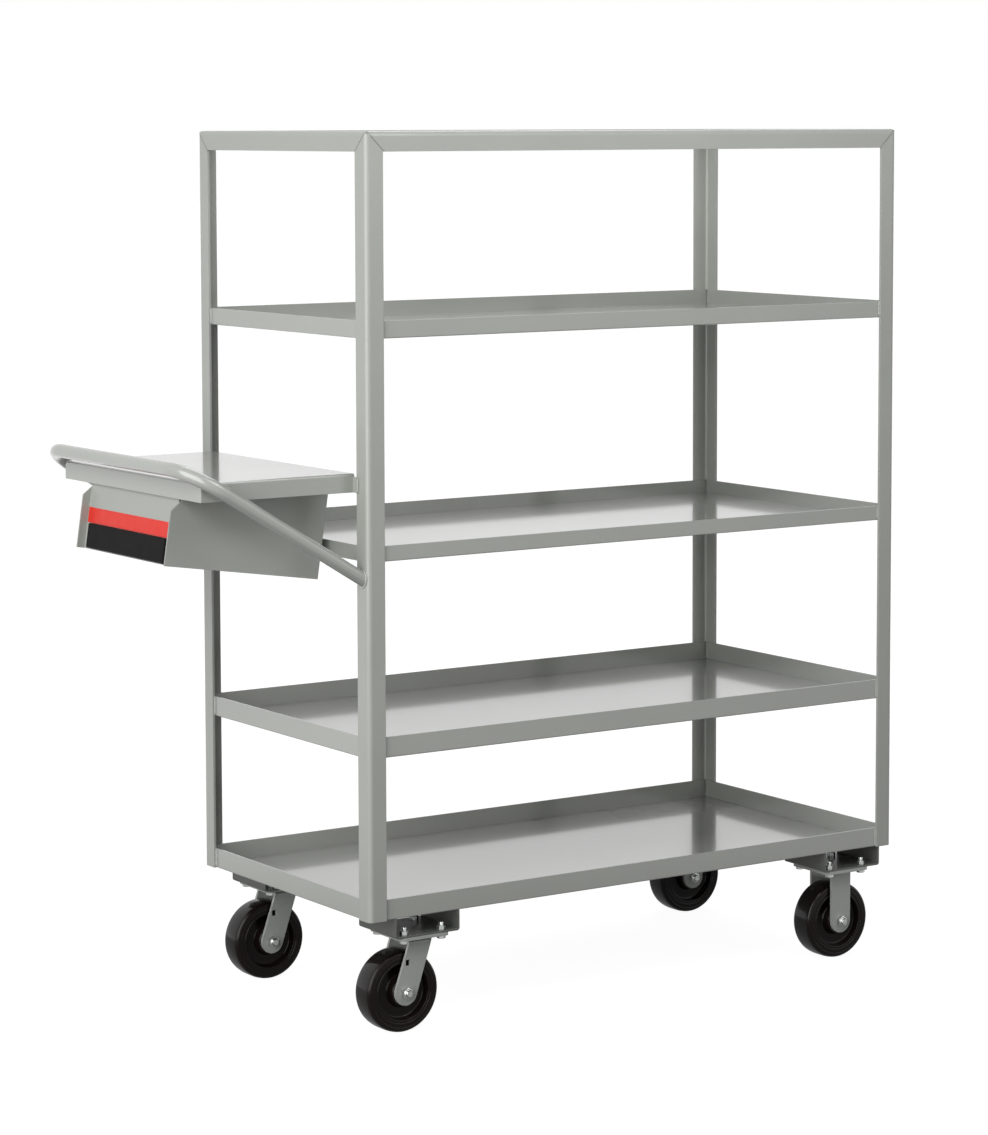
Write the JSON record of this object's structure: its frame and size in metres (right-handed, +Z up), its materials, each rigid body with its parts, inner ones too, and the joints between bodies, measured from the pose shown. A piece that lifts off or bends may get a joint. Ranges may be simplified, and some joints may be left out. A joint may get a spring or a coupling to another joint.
{
  "type": "order picking trolley",
  "caption": "Shelf trolley for picking orders: lipped trays in an open angle-steel frame, with a writing shelf, storage pocket and push handle at the swivel-caster end.",
  "frame": {"origin": "on the floor under the middle of the whole trolley, handle included", "axes": "+Z up; +X along the trolley from the handle end towards the rigid casters; +Y across it"},
  "size_m": [1.5769, 0.6096, 1.6435],
  "materials": {
    "frame_paint": "semi-gloss grey powder coat",
    "caster_paint": "semi-gloss grey powder coat",
    "fastener_zinc": "bright zinc plating",
    "bearing_steel": "ground steel",
    "wheel_phenolic": "moulded black phenolic, slightly glossy",
    "label_red": "bare red film",
    "holder_black": "moulded black plastic"
  },
  "bodies": {
    "trolley_frame": {"post_front_left": "frame_paint", "post_front_right": "frame_paint", "post_back_left": "frame_paint", "post_back_right": "frame_paint", "top_rail_front": "frame_paint", "top_rail_right": "frame_paint", "top_rail_back": "frame_paint", "top_rail_left": "frame_paint", "tray_bottom": "frame_paint", "tray_second": "frame_paint", "tray_third": "frame_paint", "tray_top": "frame_paint", "channel_left": "frame_paint", "channel_right": "frame_paint", "push_handle": "frame_paint", "writing_shelf": "frame_paint", "pocket_side_front": "frame_paint", "pocket_side_back": "frame_paint", "pocket_trough": "frame_paint", "label_strip": "label_red", "label_holder": "holder_black", "caster_bolts": "fastener_zinc", "caster_nuts": "fastener_zinc", "swivel_front_plate": "caster_paint", "swivel_front_kingpin": "bearing_steel", "swivel_front_thrust_washer": "bearing_steel", "rigid_front_plate": "caster_paint", "rigid_front_fork": "caster_paint", "rigid_front_bushing": "bearing_steel", "rigid_front_axle_bolt": "fastener_zinc", "rigid_front_axle_nut": "fastener_zinc", "swivel_back_plate": "caster_paint", "swivel_back_kingpin": "bearing_steel", "swivel_back_thrust_washer": "bearing_steel", "rigid_back_plate": "caster_paint", "rigid_back_fork": "caster_paint", "rigid_back_bushing": "bearing_steel", "rigid_back_axle_bolt": "fastener_zinc", "rigid_back_axle_nut": "fastener_zinc"},
    "swivel_front_fork_body": {"swivel_front_fork": "caster_paint", "swivel_front_balls": "bearing_steel", "swivel_front_bushing": "bearing_steel", "swivel_front_axle_bolt": "fastener_zinc", "swivel_front_axle_nut": "fastener_zinc"},
    "swivel_front_wheel_body": {"swivel_front_wheel": "wheel_phenolic", "swivel_front_bearing_rollers": "bearing_steel"},
    "rigid_front_wheel_body": {"rigid_front_wheel": "wheel_phenolic", "rigid_front_bearing_rollers": "bearing_steel"},
    "swivel_back_fork_body": {"swivel_back_fork": "caster_paint", "swivel_back_balls": "bearing_steel", "swivel_back_bushing": "bearing_steel", "swivel_back_axle_bolt": "fastener_zinc", "swivel_back_axle_nut": "fastener_zinc"},
    "swivel_back_wheel_body": {"swivel_back_wheel": "wheel_phenolic", "swivel_back_bearing_rollers": "bearing_steel"},
    "rigid_back_wheel_body": {"rigid_back_wheel": "wheel_phenolic", "rigid_back_bearing_rollers": "bearing_steel"}
  },
  "joints": [
    {"name": "swivel_front_turn", "type": "hinge", "parent": "trolley_frame", "child": "swivel_front_fork_body", "pos_m": [-0.30775, -0.2428, 0.17], "axis": [0, 0, 1], "continuous": true},
    {"name": "swivel_front_roll", "type": "hinge", "parent": "swivel_front_fork_body", "child": "swivel_front_wheel_body", "pos_m": [-0.33625, -0.2428, 0.0762], "axis": [0, 1, 0], "continuous": true},
    {"name": "rigid_front_roll", "type": "hinge", "parent": "trolley_frame", "child": "rigid_front_wheel_body", "pos_m": [0.68445, -0.2428, 0.0762], "axis": [0, 1, 0], "continuous": true},
    {"name": "swivel_back_turn", "type": "hinge", "parent": "trolley_frame", "child": "swivel_back_fork_body", "pos_m": [-0.30775, 0.2428, 0.17], "axis": [0, 0, 1], "continuous": true},
    {"name": "swivel_back_roll", "type": "hinge", "parent": "swivel_back_fork_body", "child": "swivel_back_wheel_body", "pos_m": [-0.33625, 0.2428, 0.0762], "axis": [0, 1, 0], "continuous": true},
    {"name": "rigid_back_roll", "type": "hinge", "parent": "trolley_frame", "child": "rigid_back_wheel_body", "pos_m": [0.68445, 0.2428, 0.0762], "axis": [0, 1, 0], "continuous": true}
  ]
}
